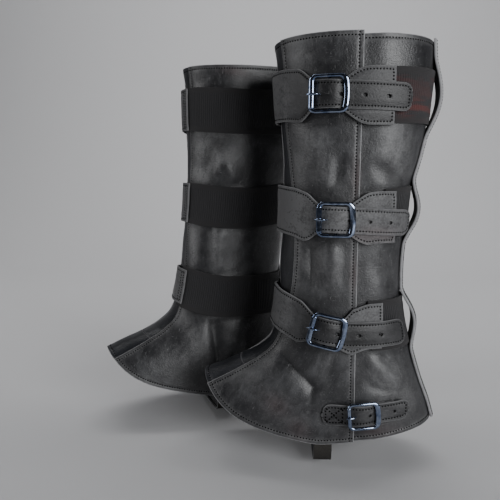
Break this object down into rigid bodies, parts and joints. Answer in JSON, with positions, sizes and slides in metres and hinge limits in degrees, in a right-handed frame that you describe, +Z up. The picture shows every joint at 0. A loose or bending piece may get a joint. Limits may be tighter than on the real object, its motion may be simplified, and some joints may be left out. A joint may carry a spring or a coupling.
{
  "type": "pair of boot covers",
  "caption": "Pair of tall black leather gaiters for boots, open at rim and hem, with wide buckled belts on elastic bands, a short hem belt and a strap under the arch.",
  "frame": {"origin": "the left cover's ankle line, 150 mm above the ground that its boot stands on, midway in the width of the cover and over the ankle", "axes": "+Z up; -X is where the left cover's toe points; -Y is the left cover's outer side"},
  "size_m": [0.374, 0.2706, 0.4168],
  "materials": {
    "panel_leather": "waxed black leather with rubbed grey-brown areas",
    "strip_leather": "smooth black leather, slightly glossy",
    "strap_leather": "waxed black leather, edge-stitched",
    "elastic_webbing": "matt black ribbed elastic",
    "buckle_steel": "polished nickel-plated steel"
  },
  "bodies": {
    "root": {"left_front_strip": "strip_leather", "left_toe_strip": "strip_leather", "left_outer_front": "panel_leather", "left_outer_rear": "panel_leather", "left_inner_panel": "panel_leather", "left_back_strip": "panel_leather", "left_upper_elastic": "elastic_webbing", "left_upper_strap": "strap_leather", "left_upper_buckle_tab": "strap_leather", "left_upper_buckle": "buckle_steel", "left_upper_prong": "buckle_steel", "left_middle_elastic": "elastic_webbing", "left_middle_strap": "strap_leather", "left_middle_buckle_tab": "strap_leather", "left_middle_buckle": "buckle_steel", "left_middle_prong": "buckle_steel", "left_lower_elastic": "elastic_webbing", "left_lower_strap": "strap_leather", "left_lower_buckle_tab": "strap_leather", "left_lower_buckle": "buckle_steel", "left_lower_prong": "buckle_steel", "left_hem_strap": "strap_leather", "left_hem_buckle_tab": "strap_leather", "left_hem_buckle": "buckle_steel", "left_hem_prong": "buckle_steel", "left_stirrup": "strap_leather", "right_front_strip": "strip_leather", "right_toe_strip": "strip_leather", "right_outer_front": "panel_leather", "right_outer_rear": "panel_leather", "right_inner_panel": "panel_leather", "right_back_strip": "panel_leather", "right_upper_elastic": "elastic_webbing", "right_upper_strap": "strap_leather", "right_upper_buckle_tab": "strap_leather", "right_upper_buckle": "buckle_steel", "right_upper_prong": "buckle_steel", "right_middle_elastic": "elastic_webbing", "right_middle_strap": "strap_leather", "right_middle_buckle_tab": "strap_leather", "right_middle_buckle": "buckle_steel", "right_middle_prong": "buckle_steel", "right_lower_elastic": "elastic_webbing", "right_lower_strap": "strap_leather", "right_lower_buckle_tab": "strap_leather", "right_lower_buckle": "buckle_steel", "right_lower_prong": "buckle_steel", "right_hem_strap": "strap_leather", "right_hem_buckle_tab": "strap_leather", "right_hem_buckle": "buckle_steel", "right_hem_prong": "buckle_steel", "right_stirrup": "strap_leather"}
  },
  "joints": []
}
